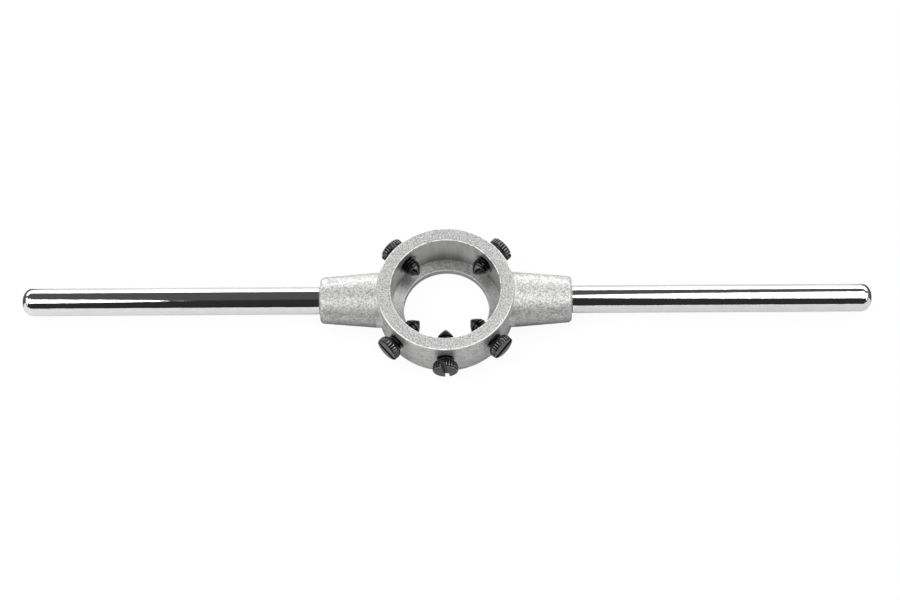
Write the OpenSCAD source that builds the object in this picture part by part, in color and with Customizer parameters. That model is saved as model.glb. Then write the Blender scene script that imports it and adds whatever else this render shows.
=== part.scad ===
// Round die holder: a ring with a die pocket, two screwed-in handles and five slotted clamp screws.
// Millimetres, +Z up. The pocket axis is the Z axis and the underside of the ring is z = 0.
// The handles lie along X. The front of the holder, with the spreader screw, is at -Y.

/* [Ring] */
// Diameter of the die pocket, for 38 mm round dies
pocket_d = 38.2; // [36:0.1:42]
// Depth of the die pocket below the top face
pocket_depth = 14.5; // [8:0.5:16]
// Outside diameter of the ring at its top
ring_d = 47.6; // [44:0.1:56]
// How much smaller the outside radius is at the foot, for the draft of the casting
draft = 0.2; // [0:0.05:1]
// Height of the ring
ring_h = 17; // [12:0.5:22]
// Diameter of the guide hole in the flange under the die
guide_d = 29.8; // [20:0.2:34]
// Chamfer of the top edges
top_chamfer = 0.4; // [0.1:0.1:1]
// Chamfer of the lower outer edge
foot_chamfer = 0.7; // [0.1:0.1:2]

/* [Bosses] */
// Distance from the ring axis to the end of each boss
boss_end = 43.6; // [38:0.1:60]
// Half the height of a boss where it meets the ring
boss_root_r = 8.2; // [6:0.1:8.4]
// Half the height of a boss at its end
boss_end_r = 6.9; // [5.5:0.1:8.2]
// Width of a boss over its height
boss_flat = 1.21; // [1:0.01:1.4]
// Rounding of the boss end
boss_round = 1.3; // [0.5:0.1:2]

/* [Handles] */
// Diameter of the handle rods
handle_d = 9.6; // [8:0.1:13]
// Distance from the ring axis to the outer end of each handle
handle_end = 147.4; // [100:0.1:200]
// How far in from the side the rounding of the outer end reaches
handle_round = 4.3; // [0.5:0.1:4.5]
// How far along the rod the same rounding reaches
handle_round_l = 3.6; // [0.5:0.1:6]
// Diameter of the threaded spigot inside the boss
spigot_d = 8; // [6:0.5:9]
// Length of the spigot
spigot_l = 16; // [8:0.5:18]

/* [Clamp screws] */
// Thread diameter
thread_d = 6; // [4:0.5:8]
// Thread pitch
pitch = 1; // [0.5:0.05:1.25]
// Length of the shank with its point, on the three front screws
front_shank_l = 12.3; // [10:0.1:20]
// The same length on the two back screws, which come out shorter in the photograph
back_shank_l = 11; // [10:0.1:20]
// Diameter over the knurl of the head
head_d = 8.9; // [7:0.1:11]
// Thickness of the head
head_h = 3.6; // [2.5:0.1:5]
// Number of knurl ridges
knurl_ridges = 26; // [16:40]
// Width of the screwdriver slot
slot_w = 1.6; // [0.8:0.1:2]
// Depth of the screwdriver slot
slot_depth = 1.5; // [0.8:0.1:2.5]
// Height of the screw axes above the underside
screw_z = 10; // [7:0.1:12]

/* [Rest positions] */
// Distance of each screw point from the ring axis, as photographed
spreader_tip = 12.75; // [11.8:0.05:19]
front_left_tip = 13.05; // [11.8:0.05:19]
front_right_tip = 12.45; // [11.8:0.05:19]
back_left_tip = 13.3; // [11.8:0.05:19]
back_right_tip = 13.5; // [11.8:0.05:19]

/* [Hidden] */
bore_gap = 0.05;
mid_z = ring_h / 2;
ring_r = ring_d / 2;
pocket_r = pocket_d / 2;
flange_h = ring_h - pocket_depth;
thread_r = thread_d / 2;
root_r = thread_r - 0.52 * pitch;
point_flat = 0.45;
point_mid_r = 1.95;
point_mid_l = 1.5;
point_l = 3.1;

// Points of a quarter oval, from the side to the end, for a rounded outer corner.
function corner(cx, cy, across, along, steps = 6) =
    [for (i = [0:steps]) [cx + across * cos(90 * i / steps), cy + along * sin(90 * i / steps)]];

module ring_blank() {
    rotate_extrude($fn = 128)
        polygon([[0, 0], [ring_r - draft - foot_chamfer, 0], [ring_r - draft, foot_chamfer],
                 [ring_r, ring_h - top_chamfer], [ring_r - top_chamfer, ring_h], [0, ring_h]]);
}

// A boss is an oval that tapers away from the ring and ends in a rounded edge.
module boss(side) {
    translate([0, 0, mid_z])
        rotate([0, side * 90, 0])
            scale([1, boss_flat, 1])
                rotate_extrude($fn = 72)
                    polygon(concat([[0, 17], [boss_root_r, 17], [boss_root_r, ring_r]],
                                   corner(boss_end_r - boss_round, boss_end - boss_round,
                                          boss_round, boss_round),
                                   [[0, boss_end]]));
}

module die_pocket() {
    rotate_extrude($fn = 128)
        polygon([[0, flange_h], [pocket_r, flange_h], [pocket_r, ring_h - top_chamfer],
                 [pocket_r + top_chamfer, ring_h], [pocket_r + top_chamfer, ring_h + 1], [0, ring_h + 1]]);
}

module screw_bore(direction) {
    rotate([0, 0, direction])
        translate([pocket_r - 2, 0, screw_z])
            rotate([0, 90, 0])
                cylinder(h = ring_r - pocket_r + 4, r = thread_r + bore_gap, $fn = 48);
}

module handle_socket(side) {
    translate([side * (boss_end - spigot_l - 0.6), 0, mid_z])
        rotate([0, side * 90, 0])
            cylinder(h = spigot_l + 2, r = spigot_d / 2 + bore_gap, $fn = 48);
}

module holder_body() {
    color([0.72, 0.72, 0.71])
        difference() {
            union() {
                ring_blank();
                boss(1);
                boss(-1);
            }
            die_pocket();
            translate([0, 0, -1]) cylinder(h = flange_h + 2, d = guide_d, $fn = 128);
            for (direction = [45, 135, 225, 270, 315]) screw_bore(direction);
            handle_socket(1);
            handle_socket(-1);
        }
}

// A plain rod with a softly rounded end. Its spigot fills the socket of the boss.
module handle(side) {
    color([0.86, 0.86, 0.87])
        translate([0, 0, mid_z])
            rotate([0, side * 90, 0])
                rotate_extrude($fn = 64)
                    polygon(concat([[0, boss_end - spigot_l], [spigot_d / 2 - 0.5, boss_end - spigot_l],
                                    [spigot_d / 2, boss_end - spigot_l + 0.5], [spigot_d / 2, boss_end],
                                    [handle_d / 2, boss_end]],
                                   corner(handle_d / 2 - handle_round, handle_end - handle_round_l,
                                          handle_round, handle_round_l, 8),
                                   [[0, handle_end]]));
}

module left_handle() { handle(-1); }
module right_handle() { handle(1); }

// Pointed shank with a groove for each turn of the thread.
module screw_shank(length) {
    first = point_l + 0.2;
    groove_count = floor((length - first - 0.5) / pitch);
    rotate_extrude($fn = 48)
        polygon(concat([[0, 0], [point_flat, 0], [point_mid_r, point_mid_l], [thread_r, point_l]],
                       [for (i = [0:groove_count - 1], p = [[thread_r, 0], [root_r, 0.3],
                                                            [root_r, 0.5], [thread_r, 0.8]])
                           [p[0], first + (i + p[1]) * pitch]],
                       [[thread_r, length + 0.5], [0, length + 0.5]]));
}

module screw_head(slot_turn) {
    crest = head_d / 2;
    difference() {
        intersection() {
            linear_extrude(head_h)
                polygon([for (i = [0:2 * knurl_ridges - 1])
                    let (r = i % 2 == 0 ? crest : crest - 0.3, a = 180 * i / knurl_ridges)
                        [r * cos(a), r * sin(a)]]);
            rotate_extrude($fn = 64)
                polygon([[0, 0], [crest - 1.3, 0], [crest - 0.45, 1], [crest + 0.05, 2.3],
                         [crest + 0.05, head_h - 0.7], [crest - 0.65, head_h], [0, head_h]]);
        }
        rotate([0, 0, slot_turn])
            translate([-slot_w / 2, -crest - 1, head_h - slot_depth])
                cube([slot_w, 2 * crest + 2, slot_depth + 1]);
    }
}

// The slot turn is measured from the level position, seen along the screw.
module clamp_screw(direction, tip, length, slot_turn) {
    color([0.12, 0.12, 0.13])
        rotate([0, 0, direction])
            translate([tip, 0, screw_z])
                rotate([0, 90, 0]) {
                    screw_shank(length);
                    translate([0, 0, length]) screw_head(slot_turn);
                }
}

module spreader_screw() { clamp_screw(270, spreader_tip, front_shank_l, -81); }
module front_left_screw() { clamp_screw(225, front_left_tip, front_shank_l, -17); }
module front_right_screw() { clamp_screw(315, front_right_tip, front_shank_l, 23); }
module back_left_screw() { clamp_screw(135, back_left_tip, back_shank_l, 4); }
module back_right_screw() { clamp_screw(45, back_right_tip, back_shank_l, -12); }

holder_body();
left_handle();
right_handle();
spreader_screw();
front_left_screw();
front_right_screw();
back_left_screw();
back_right_screw();
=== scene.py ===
import math

import bmesh
import bpy
from mathutils import Matrix, Vector, noise


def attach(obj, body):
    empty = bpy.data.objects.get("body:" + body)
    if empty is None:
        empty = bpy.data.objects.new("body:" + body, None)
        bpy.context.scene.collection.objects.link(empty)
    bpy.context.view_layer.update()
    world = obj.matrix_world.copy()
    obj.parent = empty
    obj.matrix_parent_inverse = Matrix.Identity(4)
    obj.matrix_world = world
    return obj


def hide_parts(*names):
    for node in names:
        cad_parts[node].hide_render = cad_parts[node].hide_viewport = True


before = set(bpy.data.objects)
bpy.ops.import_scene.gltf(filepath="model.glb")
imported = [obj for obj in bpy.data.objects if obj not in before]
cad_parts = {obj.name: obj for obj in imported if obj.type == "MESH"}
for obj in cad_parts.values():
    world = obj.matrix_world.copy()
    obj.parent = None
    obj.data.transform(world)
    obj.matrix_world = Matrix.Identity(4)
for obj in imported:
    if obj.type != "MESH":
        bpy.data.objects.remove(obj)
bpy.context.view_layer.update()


# The ring and its two oval bosses are one aluminium die casting, blasted all over and left with
# soft edges. The pocket for the die, the faced top and the guide hole are turned in it, and the
# holes for the five screws and the two handles are drilled.
millimetre = 0.001
ring_radius = 23.8
ring_draft = 0.2
ring_height = 17.0
ring_steps = 192
foot_round = 0.7
facing_stock = 1
boss_start = 12
boss_end = 43.6
boss_root = 8.2
boss_tip = 6.9
boss_flatness = 1.21
boss_round = 1.3
boss_steps = 96
axis_height = ring_height / 2
crisp_angle = 30


def turn(outline, steps):
    """A closed solid spun round the Z axis from points of (radius, height)."""
    closest = 0.0005
    shape = bmesh.new()
    points = [shape.verts.new((radius, 0, height)) for radius, height in outline]
    edges = [shape.edges.new(pair) for pair in zip(points, points[1:])]
    bmesh.ops.spin(
        shape,
        geom=points + edges,
        cent=(0, 0, 0),
        axis=(0, 0, 1),
        dvec=(0, 0, 0),
        angle=math.tau,
        steps=steps,
        use_merge=True,
        use_normal_flip=False,
        use_duplicate=False,
    )
    bmesh.ops.remove_doubles(shape, verts=shape.verts, dist=closest)
    bmesh.ops.recalc_face_normals(shape, faces=shape.faces)
    return shape


def round_corner(centre_radius, centre_height, radius, first, last, steps, stretch=1.0):
    """Points of (radius, height) on an arc between two angles, stretched in height for an oval."""
    turns = [math.radians(first + (last - first) * i / steps) for i in range(steps + 1)]
    return [
        (centre_radius + radius * math.cos(a), centre_height + stretch * radius * math.sin(a))
        for a in turns
    ]


def put(shape, matrix):
    """Moves, turns or stretches a shape before it is an object."""
    bmesh.ops.transform(shape, matrix=matrix, verts=shape.verts)
    return shape


def solid(name, *shapes):
    """One object, still in millimetres, from one or more shapes."""
    whole = bmesh.new()
    for shape in shapes:
        part = bpy.data.meshes.new(name)
        shape.to_mesh(part)
        shape.free()
        whole.from_mesh(part)
        bpy.data.meshes.remove(part)
    mesh = bpy.data.meshes.new(name)
    whole.to_mesh(mesh)
    whole.free()
    made = bpy.data.objects.new(name, mesh)
    bpy.context.scene.collection.objects.link(made)
    return made


def settle(piece):
    """Runs the modifiers of a piece and keeps what they make as its own mesh."""
    bpy.context.view_layer.update()
    seen = piece.evaluated_get(bpy.context.evaluated_depsgraph_get())
    made = bpy.data.meshes.new_from_object(seen)
    piece.modifiers.clear()
    worn_out = piece.data
    piece.data = made
    bpy.data.meshes.remove(worn_out)
    return piece


def machine(piece, tool, operation="DIFFERENCE"):
    """Cuts a piece with a tool, adds the tool to it, or keeps what both share."""
    step = piece.modifiers.new("machining", "BOOLEAN")
    step.operation = operation
    step.solver = "EXACT"
    step.object = tool
    settle(piece)
    mesh = tool.data
    bpy.data.objects.remove(tool)
    bpy.data.meshes.remove(mesh)
    return piece


def outward(direction, distance, height):
    """Turns a shape's Z axis to point away from the ring axis, at a distance and height."""
    turned = Matrix.Rotation(math.radians(direction), 4, "Z")
    moved = Matrix.Translation((distance, 0, height))
    return turned @ moved @ Matrix.Rotation(math.radians(90), 4, "Y")


def close_up(piece):
    """Smooth shading with crisp edges, and from millimetres to metres."""
    piece.data.transform(Matrix.Scale(millimetre, 4))
    piece.data.shade_smooth()
    piece.data.set_sharp_from_angle(angle=math.radians(crisp_angle))
    piece.data.update()
    return piece


ring_blank = turn(
    [(0, 0)]
    + round_corner(ring_radius - ring_draft - foot_round, foot_round, foot_round, -90, 0, 6)
    + [
        (ring_radius, ring_height),
        (ring_radius, ring_height + facing_stock),
        (0, ring_height + facing_stock),
    ],
    ring_steps,
)
bosses = []
for direction in (0, 180):
    boss = turn(
        [(0, boss_start), (boss_root, boss_start), (boss_root, ring_radius)]
        + round_corner(boss_tip - boss_round, boss_end - boss_round, boss_round, 0, 90, 8)
        + [(0, boss_end)],
        boss_steps,
    )
    put(boss, Matrix.Diagonal((1, boss_flatness, 1, 1)))
    put(boss, outward(direction, 0, axis_height))
    bosses.append(boss)
casting = solid("ring_casting", ring_blank, *bosses)

# The mould leaves soft inner corners and a grain, which is coarser on the bosses.
skin_grid = 0.3
softening_rounds = 3
grain_size = 0.85
grain_depth = 0.035
fine_grain_size = 0.5 * grain_size
fine_grain_share = 0.6
fine_grain_shift = Vector((7, 3, 5))
ring_grain_share = 0.35
boss_grain_starts_inside = 2
boss_grain_grows_over = 3
skin = casting.modifiers.new("one skin", "REMESH")
skin.mode = "VOXEL"
skin.voxel_size = skin_grid
settle(casting)

grained = bmesh.new()
grained.from_mesh(casting.data)
for _ in range(softening_rounds):
    bmesh.ops.smooth_vert(
        grained,
        verts=grained.verts,
        factor=0.5,
        use_axis_x=True,
        use_axis_y=True,
        use_axis_z=True,
    )
grained.normal_update()
for vert in grained.verts:
    coarse = noise.noise(vert.co / grain_size)
    fine = noise.noise(vert.co / fine_grain_size + fine_grain_shift)
    past_ring = abs(vert.co.x) - ring_radius + boss_grain_starts_inside
    share = min(max(past_ring / boss_grain_grows_over, ring_grain_share), 1)
    vert.co += vert.normal * grain_depth * share * (coarse + fine_grain_share * fine)
grained.to_mesh(casting.data)
grained.free()

# One pass on the lathe turns the guide hole and the pocket, faces the top and rounds its edges.
pocket_radius = 19.1
flange_height = 2.5
guide_radius = 14.9
rim = 0.4
hole_edge = 0.25
run_out = 0.3
tool_flare = 0.2
tool_reach = 60
tool_rise = 0.6
tool_top = 5
turning_tool = turn(
    [(0, -1), (guide_radius, -1)]
    + round_corner(guide_radius + hole_edge, flange_height - hole_edge, hole_edge, 180, 90, 4)
    + [(pocket_radius, flange_height)]
    + round_corner(pocket_radius + rim, ring_height - rim, rim, 180, 90, 5)
    + [(pocket_radius + rim + run_out, ring_height), (ring_radius - rim - run_out, ring_height)]
    + round_corner(ring_radius - rim, ring_height - rim, rim, 90, 5, 5)
    + [
        (ring_radius + tool_flare, ring_height - rim + tool_flare),
        (tool_reach, ring_height + tool_rise),
        (tool_reach, ring_height + tool_top),
        (0, ring_height + tool_top),
    ],
    ring_steps,
)
machine(casting, solid("turning_tool", turning_tool))

# The screw holes are countersunk a little in the pocket wall. Tool lengths count from drill_start.
screw_height = 10.0
screw_hole = 3.05
screw_directions = (270, 225, 315, 135, 45)
drill_start = 16.5
countersink_mouth = 1
countersink_foot = 3
drill_length = 12
socket_radius = 4.05
socket_depth = 16.6
socket_drill_length = 18
drill_steps = 48
drills = []
for direction in screw_directions:
    drill = turn(
        [
            (0, countersink_mouth),
            (screw_hole + countersink_foot - countersink_mouth, countersink_mouth),
            (screw_hole, countersink_foot),
            (screw_hole, drill_length),
            (0, drill_length),
        ],
        drill_steps,
    )
    drills.append(put(drill, outward(direction, drill_start, screw_height)))
for direction in (0, 180):
    drill = turn(
        [
            (0, 0),
            (socket_radius, 0),
            (socket_radius, socket_drill_length),
            (0, socket_drill_length),
        ],
        drill_steps,
    )
    drills.append(put(drill, outward(direction, boss_end - socket_depth, axis_height)))
machine(casting, solid("drills", *drills))
close_up(casting)


def blank_look(name):
    """An empty material with its node tree and Principled shader."""
    look = bpy.data.materials.new(name)
    look.use_nodes = True
    tree = look.node_tree
    return look, tree, tree.nodes["Principled BSDF"]


def wire(tree, socket, value):
    """Links a socket to another one, or gives it a value."""
    if isinstance(value, bpy.types.NodeSocket):
        tree.links.new(value, socket)
    else:
        socket.default_value = value


def add(tree, kind, inputs=None, **settings):
    """One node, with its settings and with a value or a link for each named input."""
    made = tree.nodes.new(kind)
    for name, value in settings.items():
        setattr(made, name, value)
    for name, value in (inputs or {}).items():
        wire(tree, made.inputs[name], value)
    return made


def calc(tree, operation, first, second=0.0, third=0.0):
    """The result of one Math node."""
    made = tree.nodes.new("ShaderNodeMath")
    made.operation = operation
    for socket, value in zip(made.inputs, (first, second, third)):
        wire(tree, socket, value)
    return made.outputs[0]


def where_all(tree, *masks):
    """The share that several masks leave together."""
    share = masks[0]
    for mask in masks[1:]:
        share = calc(tree, "MULTIPLY", share, mask)
    return share


def where_not(tree, mask):
    """The reverse of a mask."""
    return calc(tree, "SUBTRACT", 1.0, mask)


def ramp(tree, value, low, high, bottom=0.0, top=1.0):
    """Takes a value from one range to another and stops at its ends."""
    made = add(
        tree,
        "ShaderNodeMapRange",
        {"Value": value, "From Min": low, "From Max": high, "To Min": bottom, "To Max": top},
        clamp=True,
    )
    return made.outputs["Result"]


def fade(tree, length, start, end, bottom=0.0, top=1.0):
    """Goes from bottom to top while a length on the piece passes from start to end, in millimetres."""
    return ramp(tree, length, start * millimetre, end * millimetre, bottom, top)


def blend(tree, share, first, second):
    """Two numbers mixed by a share."""
    return add(tree, "ShaderNodeMix", {"Factor": share, "A": first, "B": second}).outputs[0]


def blend_colour(tree, share, first, second):
    """Two colours mixed by a share."""
    made = tree.nodes.new("ShaderNodeMix")
    made.data_type = "RGBA"
    wire(tree, made.inputs["Factor"], share)
    wire(tree, made.inputs["A"], first)
    wire(tree, made.inputs["B"], second)
    return made.outputs["Result"]


def stretch(tree, place, across, along, high):
    """A place with each of its directions multiplied, for a pattern longer one way than another."""
    made = add(tree, "ShaderNodeMapping", {"Vector": place, "Scale": (across, along, high)})
    return made.outputs[0]


def mottle(tree, place, scale, detail, roughness=0.5):
    """An uneven value from 0 to 1, with so many waves to a metre."""
    made = add(
        tree,
        "ShaderNodeTexNoise",
        {"Vector": place, "Scale": scale, "Detail": detail, "Roughness": roughness},
    )
    return made.outputs["Fac"]


def emboss(tree, shader, height, depth):
    """Relief from a height, for light to catch, with a depth in millimetres."""
    bump = add(
        tree,
        "ShaderNodeBump",
        {"Strength": 1.0, "Distance": depth * millimetre, "Height": height},
    )
    wire(tree, shader.inputs["Normal"], bump.outputs["Normal"])


def new_group(name, inputs, outputs):
    """A shader node group with number inputs and outputs, and its two end nodes."""
    group = bpy.data.node_groups.new(name, "ShaderNodeTree")
    for label, value in inputs:
        socket = group.interface.new_socket(label, in_out="INPUT", socket_type="NodeSocketFloat")
        socket.default_value = value
    for label in outputs:
        group.interface.new_socket(label, in_out="OUTPUT", socket_type="NodeSocketFloat")
    return group, group.nodes.new("NodeGroupInput"), group.nodes.new("NodeGroupOutput")


def use_group(tree, group, **values):
    """A node group placed in a material, with its own values."""
    made = tree.nodes.new("ShaderNodeGroup")
    made.node_tree = group
    for name, value in values.items():
        wire(tree, made.inputs[name], value)
    return made


# Grain of a blasted or blackened skin: pits of two sizes. It gives a height and a speckle mask.
wide_pit_share = 0.4
speckle_low = 0.38
speckle_high = 0.60
grain, given, out = new_group(
    "skin grain",
    [("Size", 0.0005), ("Coarse", 0.3)],
    ["Height", "Speckle"],
)
place = grain.nodes.new("ShaderNodeTexCoord").outputs["Object"]
per_metre = calc(grain, "DIVIDE", 1.0, given.outputs["Size"])
pits = mottle(grain, place, per_metre, 3.0, 0.65)
dents = mottle(grain, place, calc(grain, "MULTIPLY", per_metre, wide_pit_share), 1.0)
fine_part = calc(grain, "MULTIPLY", pits, where_not(grain, given.outputs["Coarse"]))
height = calc(grain, "MULTIPLY_ADD", dents, given.outputs["Coarse"], fine_part)
wire(grain, out.inputs["Height"], height)
wire(grain, out.inputs["Speckle"], ramp(grain, height, speckle_low, speckle_high))

cast_look, tree, metal = blank_look("blasted_casting")
place = tree.nodes.new("ShaderNodeTexCoord").outputs["Object"]
across, along, high = add(tree, "ShaderNodeSeparateXYZ", {"Vector": place}).outputs
along_squared = calc(tree, "MULTIPLY", along, along)
from_axis = calc(tree, "SQRT", calc(tree, "MULTIPLY_ADD", across, across, along_squared))

# Each turned or rounded surface is found by its distance from the ring axis and its height.
in_pocket = where_all(
    tree,
    fade(tree, from_axis, pocket_radius + rim + 0.1, pocket_radius + rim + 0.05),
    fade(tree, high, flange_height + 0.02, flange_height + 0.1),
)
on_wall = where_all(
    tree,
    in_pocket,
    fade(tree, from_axis, pocket_radius - 0.05, pocket_radius - 0.01),
)
in_hole = fade(tree, from_axis, guide_radius + 0.06, guide_radius + 0.02)
on_ledge = where_all(
    tree,
    fade(tree, from_axis, guide_radius + hole_edge - 0.06, guide_radius + hole_edge),
    fade(tree, from_axis, pocket_radius + 0.01, pocket_radius - 0.01),
    fade(tree, high, flange_height + 0.06, flange_height + 0.02),
    fade(tree, high, flange_height - 0.1, flange_height - 0.05),
)
cut = calc(tree, "MAXIMUM", calc(tree, "MAXIMUM", on_wall, in_hole), on_ledge)
on_boss = fade(tree, calc(tree, "ABSOLUTE", across), ring_radius - 0.3, ring_radius + 0.7)
on_outside = where_all(
    tree,
    fade(tree, from_axis, ring_radius - 0.6, ring_radius - 0.3),
    where_not(tree, on_boss),
)
beside_boss = where_all(
    tree,
    fade(tree, from_axis, ring_radius - 1.8, ring_radius - 1.3),
    fade(tree, calc(tree, "ABSOLUTE", along), boss_root + 0.3, boss_root - 1.2),
)

# The rounded edges of the top and of the guide hole are rubbed bright and carry a painted highlight,
# near white and barely metallic, with gaps where they are nicked.
hole_edge_wear_and_highlight = 0.4
top_edge = where_all(
    tree,
    fade(tree, high, ring_height - rim - 0.02, ring_height - rim + 0.03),
    fade(tree, high, ring_height - 0.01, ring_height - 0.03),
    where_not(tree, beside_boss),
)
low_edge = where_all(
    tree,
    fade(tree, high, flange_height - hole_edge - 0.02, flange_height - hole_edge + 0.02),
    fade(tree, high, flange_height - 0.005, flange_height - 0.02),
    fade(tree, from_axis, guide_radius + hole_edge + 0.05, guide_radius + hole_edge + 0.02),
)
both_edges = calc(tree, "MAXIMUM", top_edge, calc(tree, "MULTIPLY", low_edge, hole_edge_wear_and_highlight))
between_nicks = ramp(tree, mottle(tree, place, 700.0, 2.0), 0.36, 0.52, 0.3, 1.0)
rim_wear_and_highlight = where_all(tree, both_edges, between_nicks)

# The skin has blasted pits, and the turned surfaces have the fine rings that the tool left.
skin_relief = 0.12
tool_rings_per_metre = 9000.0
wall_ring_depth = 0.15
ledge_ring_depth = 0.5
ledge_pit_depth = 0.2
blast = use_group(tree, grain, Size=0.00055, Coarse=0.12)
rough_blast = use_group(tree, grain, Size=0.0006, Coarse=0.2)
speckle = blend(tree, on_boss, blast.outputs["Speckle"], rough_blast.outputs["Speckle"])
height = blend(tree, on_boss, blast.outputs["Height"], rough_blast.outputs["Height"])
ring_place = add(
    tree,
    "ShaderNodeCombineXYZ",
    {
        "X": calc(tree, "MULTIPLY", high, tool_rings_per_metre),
        "Y": calc(tree, "MULTIPLY", from_axis, tool_rings_per_metre),
    },
)
tool_rings = mottle(tree, ring_place.outputs[0], 1.0, 2.0)
wall_relief = calc(tree, "MULTIPLY", tool_rings, wall_ring_depth)
ledge_pits = calc(tree, "MULTIPLY", height, ledge_pit_depth)
ledge_relief = calc(tree, "MULTIPLY_ADD", tool_rings, ledge_ring_depth, ledge_pits)
cut_relief = blend(tree, on_ledge, wall_relief, ledge_relief)
emboss(tree, metal, blend(tree, cut, height, cut_relief), skin_relief)

# The outside of the ring was linished round before it was blasted, which shows as faint streaks.
# Painted shade darkens the undersides of the bosses and the far side of the ledge, and painted light
# makes the near side of the ledge pale.
pit_grey = (0.40, 0.40, 0.397, 1)
skin_grey = (0.94, 0.94, 0.93, 1)
bare_metal_and_painted_light = (0.97, 0.97, 0.96, 1)
painted_shade_grey = (0.25, 0.25, 0.247, 1)
hole_grey = (0.45, 0.45, 0.445, 1)
streak_share = 0.55
ledge_painted_shade = 0.45
ledge_painted_light = 0.6
linished = mottle(tree, stretch(tree, place, 320.0, 320.0, 2600.0), 1.0, 3.0)
below_top = fade(tree, high, ring_height - 0.2, ring_height - 0.4, 0.0, streak_share)
streaks = where_all(tree, on_outside, below_top)
tone = blend(tree, streaks, speckle, ramp(tree, linished, 0.32, 0.68))
skin_colour = blend_colour(tree, tone, pit_grey, skin_grey)
far_side = fade(tree, along, 4.0, 14.0)
# Painted light on the near side of the ledge and painted shade on its far side.
ledge_painted_light_mask = where_all(tree, on_ledge, ramp(tree, far_side, 0.0, 1.0, ledge_painted_light, 0.0))
ledge_painted_shade_mask = where_all(tree, on_ledge, calc(tree, "MULTIPLY", far_side, ledge_painted_shade))
skin_colour = blend_colour(tree, ledge_painted_light_mask, skin_colour, bare_metal_and_painted_light)
skin_colour = blend_colour(tree, ledge_painted_shade_mask, skin_colour, painted_shade_grey)
# Painted shade: the lower half of each boss is darkened.
underside = fade(tree, high, axis_height - 2.0, axis_height + 5.0, 0.95, 0.08)
boss_painted_shade = where_all(tree, on_boss, underside)
skin_colour = blend_colour(tree, boss_painted_shade, skin_colour, painted_shade_grey)

# The pocket wall has marks drawn down it. It is darker just under its mouth, carries painted shade at
# its far foot and painted light on all but its far side.
wall_warmth = 0.99
wall_marks = mottle(tree, stretch(tree, place, 420.0, 420.0, 60.0), 1.0, 2.0)
near_foot = fade(tree, high, flange_height - 0.1, flange_height + 5.3, 0.55, 0.0)
below_mouth = fade(tree, high, ring_height - rim - 0.4, ring_height - rim, 1.0, 0.7)
# Painted shade at the far foot and painted light away from the far side.
wall_tone = where_all(
    tree,
    where_not(tree, where_all(tree, far_side, near_foot)),
    below_mouth,
    ramp(tree, wall_marks, 0.3, 0.7, 0.45, 0.59),
    ramp(tree, far_side, 0.0, 1.0, 1.35, 1.0),
)
wall_colour = add(
    tree,
    "ShaderNodeCombineColor",
    {
        "Red": wall_tone,
        "Green": wall_tone,
        "Blue": calc(tree, "MULTIPLY", wall_tone, wall_warmth),
    },
)
colour = blend_colour(tree, in_hole, skin_colour, hole_grey)
colour = blend_colour(tree, on_wall, colour, wall_colour.outputs[0])
# Painted highlight and rubbed bare metal on the rounded edges.
colour = blend_colour(tree, rim_wear_and_highlight, colour, bare_metal_and_painted_light)
wire(tree, metal.inputs["Base Color"], colour)

boss_extra_roughness = 0.06
cut_roughness = 0.3
rim_roughness = 0.2
wire(tree, metal.inputs["Metallic"], ramp(tree, rim_wear_and_highlight, 0.0, 1.0, 0.78, 0.08))
metal.inputs["Specular Tint"].default_value = (0.4, 0.4, 0.4, 1)
roughness = ramp(tree, speckle, 0.0, 1.0, 0.5, 0.38)
roughness = calc(tree, "MULTIPLY_ADD", on_boss, boss_extra_roughness, roughness)
roughness = blend(tree, cut, roughness, cut_roughness)
wire(tree, metal.inputs["Roughness"], blend(tree, rim_wear_and_highlight, roughness, rim_roughness))
casting.data.materials.clear()
casting.data.materials.append(cast_look)

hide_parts("holder_body")
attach(casting, "holder")


# The handles are two bright plated steel rods, softly rounded at the outer end and turned down at
# the other to a threaded spigot, which is screwed home in the boss so that the shoulder meets it.
handle_radius = 4.8
handle_end = 147.4
end_round = 4.3
end_round_length = 3.6
spigot_radius = 4.0
spigot_length = 16.0
spigot_chamfer = 0.5
shoulder = 0.3
shoulder_gap = 0.02
handle_steps = 128
plating_grey = (0.81, 0.81, 0.815, 1)
plating_bright = (0.88, 0.88, 0.885, 1)
ripple_depth = 0.016

chrome_look, tree, plate = blank_look("bright_plating")
place = tree.nodes.new("ShaderNodeTexCoord").outputs["Object"]
ripple = mottle(tree, stretch(tree, place, 260.0, 900.0, 900.0), 1.0, 3.0, 0.6)
smear = mottle(tree, place, 220.0, 4.0)
polish = ramp(tree, smear, 0.3, 0.7)
wire(tree, plate.inputs["Base Color"], blend_colour(tree, polish, plating_grey, plating_bright))
wire(tree, plate.inputs["Roughness"], ramp(tree, smear, 0.3, 0.7, 0.07, 0.04))
plate.inputs["Metallic"].default_value = 1.0
emboss(tree, plate, ripple, ripple_depth)

for name, body_node, direction in (
    ("bright_rod_left", "left_handle", 180),
    ("bright_rod_right", "right_handle", 0),
):
    rod = turn(
        [
            (0, boss_end - spigot_length),
            (spigot_radius - spigot_chamfer, boss_end - spigot_length),
            (spigot_radius, boss_end - spigot_length + spigot_chamfer),
            (spigot_radius, boss_end + shoulder_gap),
            (handle_radius - shoulder, boss_end + shoulder_gap),
            (handle_radius, boss_end + shoulder_gap + shoulder),
        ]
        + round_corner(
            handle_radius - end_round,
            handle_end - end_round_length,
            end_round,
            0,
            90,
            20,
            end_round_length / end_round,
        )
        + [(0, handle_end)],
        handle_steps,
    )
    piece = solid(name, put(rod, outward(direction, 0, axis_height)))
    close_up(piece)
    piece.data.materials.append(chrome_look)
    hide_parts(body_node)
    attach(piece, "holder")


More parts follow.
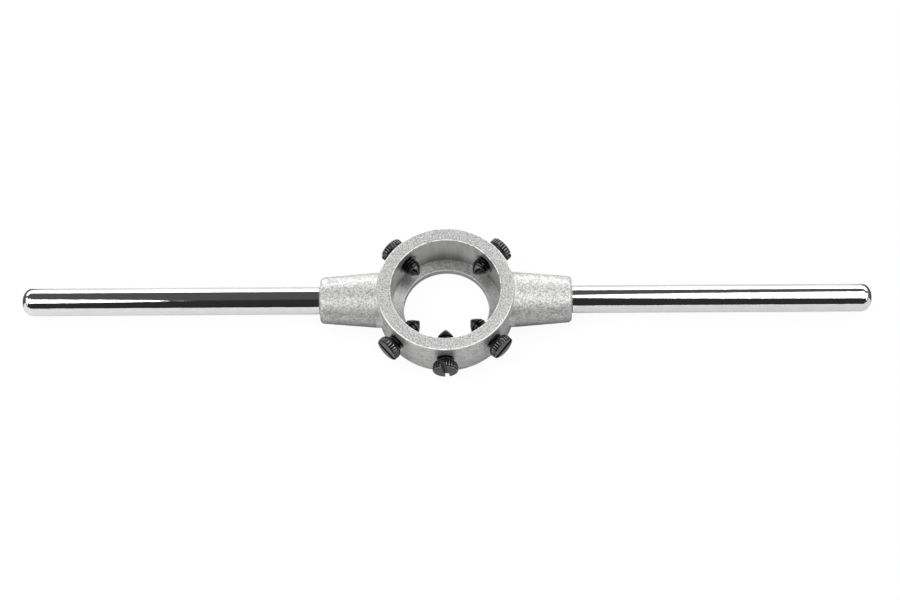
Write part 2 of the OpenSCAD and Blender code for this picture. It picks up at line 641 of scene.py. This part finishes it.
# Five thumb screws clamp the die: blackened steel, with a rolled M6 thread, a blunt point for the
# dimple or slot of the die, and a coarse knurled head with a screwdriver slot milled across it.
# The two at the back have a shorter shank.
thread_radius = 3.0
thread_pitch = 1.0
thread_depth = 0.61
thread_root = thread_radius - thread_depth
thread_overlap = 0.15
thread_half_crest = 0.0625
thread_half_root = 0.39
thread_half_foot = 0.45
thread_start = 0.3
thread_steps = 48
point_radius = 0.7
point_start = 0.45
point_end = 1.95
full_thread = 3.1
front_shank = 12.3
back_shank = 11.0
head_radius = 4.45
head_thickness = 3.6
head_round = 0.8
head_steps = 96
inner_round = 1.5
inner_round_length = 2.3
ridges = 26
ridge_depth = 0.3
ridge_round = 0.05
slot_width = 1.6
slot_depth = 1.5
slot_bevel = 0.15


def thread_coil(turns, steps):
    """A helical ridge of trapezoid section, to be added to a core a little larger than its foot."""
    shape = bmesh.new()
    section = [
        (thread_root - thread_overlap, -thread_half_foot),
        (thread_root, -thread_half_root),
        (thread_radius, -thread_half_crest),
        (thread_radius, thread_half_crest),
        (thread_root, thread_half_root),
        (thread_root - thread_overlap, thread_half_foot),
    ]
    corners = [shape.verts.new((r, 0, thread_pitch * (z + thread_start))) for r, z in section]
    face = shape.faces.new(corners)
    bmesh.ops.spin(
        shape,
        geom=[face],
        cent=(0, 0, 0),
        axis=(0, 0, 1),
        dvec=(0, 0, thread_pitch / steps),
        angle=math.tau * turns,
        steps=round(steps * turns),
        use_merge=False,
        use_normal_flip=False,
        use_duplicate=False,
    )
    bmesh.ops.recalc_face_normals(shape, faces=shape.faces)
    return shape


def upright_prism(outline, height):
    """A closed solid with a flat outline of (x, y) as its foot."""
    shape = bmesh.new()
    face = shape.faces.new([shape.verts.new((x, y, 0)) for x, y in outline])
    grown = bmesh.ops.extrude_face_region(shape, geom=[face])
    raised = [v for v in grown["geom"] if isinstance(v, bmesh.types.BMVert)]
    bmesh.ops.translate(shape, verts=raised, vec=(0, 0, height))
    bmesh.ops.recalc_face_normals(shape, faces=shape.faces)
    return shape


def make_shank(length):
    """The threaded shank along Z, with its rounded point at the origin."""
    unthreaded_turns = 0.5
    allowance = 0.02
    inside_head = 0.1
    shank = solid("shank", thread_coil(length / thread_pitch - unthreaded_turns, thread_steps))
    core = turn([(0, 0), (thread_root, 0), (thread_root, length), (0, length)], thread_steps)
    machine(shank, solid("core", core), "UNION")
    widest = thread_radius + allowance
    pointed = turn(
        round_corner(0, point_radius * math.sqrt(2) - point_start, point_radius, -90, -45, 5)
        + [
            (point_end, point_end - point_start),
            (widest, full_thread),
            (widest, length - inside_head),
            (0, length - inside_head),
        ],
        thread_steps,
    )
    return machine(shank, solid("pointed", pointed), "INTERSECT")


def make_head():
    """The knurled and slotted head along Z, with its inner face at the origin."""
    spare = 0.3
    allowance = 0.03
    cutter_length = 14
    outline = []
    for ridge in range(ridges):
        for share, radius in (
            (0.0, head_radius - ridge_depth),
            (0.32, head_radius - ridge_round),
            (0.5, head_radius),
            (0.68, head_radius - ridge_round),
        ):
            angle = math.tau * (ridge + share) / ridges
            outline.append((radius * math.cos(angle), radius * math.sin(angle)))
    knurl = upright_prism(outline, head_thickness + 2 * spare)
    head = solid("head", put(knurl, Matrix.Translation((0, 0, -spare))))
    crown = head_radius + allowance
    envelope = turn(
        [(0, 0)]
        + round_corner(
            crown - inner_round,
            inner_round_length,
            inner_round,
            -90,
            0,
            8,
            inner_round_length / inner_round,
        )
        + round_corner(crown - head_round, head_thickness - head_round, head_round, 0, 90, 6)
        + [(0, head_thickness)],
        head_steps,
    )
    machine(head, solid("envelope", envelope), "INTERSECT")
    half = slot_width / 2
    cutter = upright_prism(
        [
            (-half, -slot_depth),
            (half, -slot_depth),
            (half, -slot_bevel),
            (half + slot_bevel + 1, 1),
            (-half - slot_bevel - 1, 1),
            (-half, -slot_bevel),
        ],
        cutter_length,
    )
    across_head = Matrix.Translation((0, cutter_length / 2, head_thickness))
    put(cutter, across_head @ Matrix.Rotation(math.radians(90), 4, "X"))
    return machine(head, solid("cutter", cutter))


# Ridge tops, thread crests and slot edges are lightened partly as worn black and partly as a painted
# highlight.
ridge_wear_and_highlight = 0.85
rubbed_point = 0.25
thread_wear_and_highlight = 0.4
rubbed_end = 0.15
slot_edge_wear_and_highlight = 0.9
rubbed_slot_wall = 0.3


def rub(screw, length):
    """Marks how far each face is lightened, as black rubbed off and as a painted highlight on ridge
    tops, thread crests and slot edges: slot edges and ridge tops most.
    """
    end = length + head_thickness
    nearly = 0.02
    marks = screw.data.attributes.new("rubbed", "FLOAT", "FACE")
    for face, mark in zip(screw.data.polygons, marks.data):
        reach = face.center.z
        from_axis = math.hypot(face.center.x, face.center.y)
        in_slot = abs(face.normal.z) < 0.1 and from_axis < head_radius - 0.5
        if reach > length and from_axis > head_radius - 0.06:
            mark.value = ridge_wear_and_highlight
        elif reach < full_thread - 0.3:
            mark.value = rubbed_point
        elif reach < length and from_axis > thread_radius - 0.03:
            mark.value = thread_wear_and_highlight
        elif reach > end - nearly:
            mark.value = rubbed_end
        elif reach > end - slot_bevel:
            mark.value = slot_edge_wear_and_highlight
        elif reach > end - slot_depth - nearly and in_slot:
            mark.value = rubbed_slot_wall


oxide_black = (0.028, 0.028, 0.03, 1)
oxide_speck = (0.06, 0.06, 0.062, 1)
worn_steel_and_highlight = (0.35, 0.35, 0.35, 1)
oxide_depth = 0.02
black_look, tree, black = blank_look("black_oxide")
place = tree.nodes.new("ShaderNodeTexCoord").outputs["Object"]
oxide = use_group(tree, grain, Size=0.0006, Coarse=0.4)
rubbed = add(tree, "ShaderNodeAttribute", attribute_name="rubbed").outputs["Fac"]
patches = ramp(tree, mottle(tree, place, 900.0, 2.0), 0.35, 0.6, 0.4, 1.0)
oxide_colour = blend_colour(tree, oxide.outputs["Speckle"], oxide_black, oxide_speck)
# Worn steel and painted highlight where the faces are marked.
black_colour = blend_colour(tree, where_all(tree, rubbed, patches), oxide_colour, worn_steel_and_highlight)
wire(tree, black.inputs["Base Color"], black_colour)
black.inputs["Metallic"].default_value = 1.0
roughness = where_all(
    tree,
    ramp(tree, oxide.outputs["Speckle"], 0.0, 1.0, 0.28, 0.2),
    ramp(tree, rubbed, 0.0, rubbed_point, 1.0, 0.65),
)
wire(tree, black.inputs["Roughness"], roughness)
emboss(tree, black, oxide.outputs["Height"], oxide_depth)

for body, direction, distance, length, slot_turn in (
    ("spreader", 270, 12.75, front_shank, -81),
    ("front_left", 225, 13.05, front_shank, -17),
    ("front_right", 315, 12.45, front_shank, 23),
    ("back_left", 135, 13.3, back_shank, 4),
    ("back_right", 45, 13.5, back_shank, -12),
):
    piece = make_head()
    piece.data.transform(Matrix.Translation((0, 0, length)))
    machine(piece, make_shank(length), "UNION")
    piece.name = body + "_thumb_screw"
    rub(piece, length)
    slot_level = Matrix.Rotation(math.radians(slot_turn), 4, "Z")
    piece.data.transform(outward(direction, distance, screw_height) @ slot_level)
    close_up(piece)
    piece.data.materials.clear()
    piece.data.materials.append(black_look)
    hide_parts(body + "_screw")
    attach(piece, body)


# The camera looks down at the holder from the front, a little from the right and rolled, from
# 1.2 m away, as the photograph's ellipses, rod ends and screws give it.
elevation = math.radians(62.06)
azimuth = math.radians(2.70)
roll = math.radians(-2.72)
camera_distance = 1200.0
sensor_width = 36.0
picture_width = 900
picture_height = 600
pixels_per_mm = 2.8784
ring_in_picture = (446.02, 299.90)

back = Vector(
    (
        math.sin(azimuth) * math.cos(elevation),
        -math.cos(azimuth) * math.cos(elevation),
        math.sin(elevation),
    )
)
level = Vector((math.cos(azimuth), math.sin(azimuth), 0))
upright = back.cross(level)
right = level * math.cos(roll) + upright * math.sin(roll)
up = upright * math.cos(roll) - level * math.sin(roll)
eye = Vector((0, 0, axis_height)) + back * camera_distance
eye -= right * ((ring_in_picture[0] - picture_width / 2) / pixels_per_mm)
eye -= up * ((picture_height / 2 - ring_in_picture[1]) / pixels_per_mm)
camera_data = bpy.data.cameras.new("camera")
camera_data.sensor_width = sensor_width
camera_data.lens = pixels_per_mm * camera_distance * sensor_width / picture_width
camera_data.clip_start = 0.01
camera = bpy.data.objects.new("camera", camera_data)
bpy.context.scene.collection.objects.link(camera)
facing = Matrix((right, up, back)).transposed().to_4x4()
camera.matrix_world = Matrix.Translation(eye * millimetre) @ facing
bpy.context.scene.camera = camera


# The holder lies on a wide white table in a white room. The table is a hair lower than the
# holder's underside, so that the two faces never coincide. The camera sees it nearly plain
# white, with a faint shadow of the holder.
table_size = 4000
table_height = -0.05
table = bmesh.new()
bmesh.ops.create_grid(table, x_segments=1, y_segments=1, size=table_size)
put(table, Matrix.Translation((0, 0, table_height)))
floor = solid("table", table)
floor.data.transform(Matrix.Scale(millimetre, 4))


def looked_at(tree, ray):
    """1 for rays that see a surface, straight or in a mirror or glass, and 0 for those it lights by."""
    mirrored = calc(tree, "MAXIMUM", ray["Is Glossy Ray"], ray["Is Transmission Ray"])
    return calc(tree, "MAXIMUM", ray["Is Camera Ray"], mirrored)


def stage_look(name):
    """A material for the table or a card, with its node tree and the socket for its surface."""
    look = bpy.data.materials.new(name)
    look.use_nodes = True
    tree = look.node_tree
    tree.nodes.remove(tree.nodes["Principled BSDF"])
    return look, tree, tree.nodes["Material Output"].inputs["Surface"]


floor_look, tree, surface = stage_look("white_table")
ray = tree.nodes.new("ShaderNodeLightPath").outputs
white_share = ramp(tree, ray["Is Glossy Ray"], 0.0, 1.0, 0.9, 0.05)
share = where_all(tree, looked_at(tree, ray), white_share)
lit = add(tree, "ShaderNodeBsdfDiffuse", {"Color": (0.57, 0.57, 0.57, 1)})
plain = add(tree, "ShaderNodeEmission", {"Color": (1, 1, 1, 1), "Strength": 1.04})
mixed = add(tree, "ShaderNodeMixShader", {"Fac": share, 1: lit.outputs[0], 2: plain.outputs[0]})
wire(tree, surface, mixed.outputs[0])
floor.data.materials.append(floor_look)

world = bpy.data.worlds.new("white_room")
world.use_nodes = True
tree = world.node_tree
ray = tree.nodes.new("ShaderNodeLightPath").outputs
brightness = ramp(tree, looked_at(tree, ray), 0.0, 1.0, 0.32, 1.0)
backdrop = tree.nodes["Background"]
backdrop.inputs["Color"].default_value = (1, 1, 1, 1)
wire(tree, backdrop.inputs["Strength"], brightness)
bpy.context.scene.world = world


# Two soft panels hang over the ends of the holder and one stands behind it. A fill lamp at the
# left, which no mirror shows, evens out the shade in the pocket.
def panel(name, centre, size, outline, strength):
    """A soft lamp, so many times as bright as white, that faces down, or forwards if it stands."""
    data = bpy.data.lights.new(name, "AREA")
    data.shape = outline
    data.size = size[0] * millimetre
    data.size_y = size[1] * millimetre
    area = data.size * data.size_y * (math.pi / 4 if outline == "ELLIPSE" else 1)
    data.energy = strength * 4 * area
    lamp = bpy.data.objects.new(name, data)
    bpy.context.scene.collection.objects.link(lamp)
    lamp.location = Vector(centre) * millimetre
    if outline == "RECTANGLE":
        lamp.rotation_euler = (math.radians(-90), 0, 0)
    lamp.visible_camera = False
    return lamp


panel("panel_right", (520, -60, 600), (974, 800), "ELLIPSE", 1.5)
panel("panel_left", (-540, -242, 600), (720, 584), "ELLIPSE", 1.85)
panel("panel_back", (0, 920, 375), (2600, 680), "RECTANGLE", 1.1)
fill = panel("fill_left", (-520, -60, 590), (900, 800), "ELLIPSE", 1.8)
fill.visible_glossy = False


def hang(name, shape, look):
    """A part of the stage that only mirrors show."""
    made = solid(name, shape)
    made.data.transform(Matrix.Scale(millimetre, 4))
    made.data.materials.append(look)
    made.visible_camera = False
    made.visible_diffuse = False
    made.visible_shadow = False
    made.visible_transmission = False


# A dark screen arches over the holder from front to back, with an end wall on each side that
# reaches down almost to the table. It gives the plating the dark bands of the photograph. Two
# dark flags lie just above the table beyond the rod ends and outline them.
screen_radius = 900
screen_half = 1300
screen_steps = 48
screen_start = math.radians(6)
screen_sweep = math.radians(137)
wall_foot = 1
flag_gap = 0.2
flag_reach = 420
flag_near = 1
flag_far = 160
screen = bmesh.new()
front_height = screen_radius * math.sin(screen_start)
ends = [
    screen.verts.new((x, -screen_radius * math.cos(screen_start), front_height))
    for x in (-screen_half, screen_half)
]
edge = screen.edges.new(ends)
bmesh.ops.spin(
    screen,
    geom=ends + [edge],
    cent=(0, 0, 0),
    axis=(-1, 0, 0),
    dvec=(0, 0, 0),
    angle=screen_sweep,
    steps=screen_steps,
    use_merge=False,
    use_normal_flip=False,
    use_duplicate=False,
)
rims = [e for e in screen.edges if e.is_boundary and abs(e.verts[0].co.x - e.verts[1].co.x) < 1]
for x in (-screen_half, screen_half):
    bmesh.ops.contextual_create(screen, geom=[e for e in rims if abs(e.verts[0].co.x - x) < 1])
for end_wall in [f for f in screen.faces if len(f.verts) > 4]:
    low = [e for e in end_wall.edges if e.is_boundary]
    dropped = bmesh.ops.extrude_edge_only(screen, edges=low)
    for vert in [v for v in dropped["geom"] if isinstance(v, bmesh.types.BMVert)]:
        vert.co.z = wall_foot
for side in (-1, 1):
    near = side * (handle_end + flag_gap)
    far = side * flag_reach
    corners = ((near, flag_near), (far, flag_near), (far, flag_far), (near, flag_far))
    screen.faces.new([screen.verts.new((x, y, wall_foot)) for x, y in corners])

screen_look, tree, surface = stage_look("dark_screen")
place = tree.nodes.new("ShaderNodeTexCoord").outputs["Object"]
depth = add(tree, "ShaderNodeSeparateXYZ", {"Vector": place}).outputs["Y"]
darkness = fade(tree, depth, -360.0, -200.0, 0.028, 0.085)
wire(tree, surface, add(tree, "ShaderNodeEmission", {"Strength": darkness}).outputs[0])
hang("dark_screen", screen, screen_look)

# White cards lean outwards beyond the two ends, so that the round ends of the rods stay bright.
card_foot = 900
card_head = 1050
card_front = -420
card_back = 300
card_low = 120
card_high = 640
cards = bmesh.new()
for side in (-1, 1):
    foot = [cards.verts.new((side * card_foot, y, card_low)) for y in (card_front, card_back)]
    head = [cards.verts.new((side * card_head, y, card_high)) for y in (card_back, card_front)]
    cards.faces.new(foot + head)
card_look, tree, surface = stage_look("white_card")
wire(tree, surface, add(tree, "ShaderNodeEmission", {"Strength": 1.4}).outputs[0])
hang("white_cards", cards, card_look)

bpy.context.scene.view_settings.view_transform = "Standard"
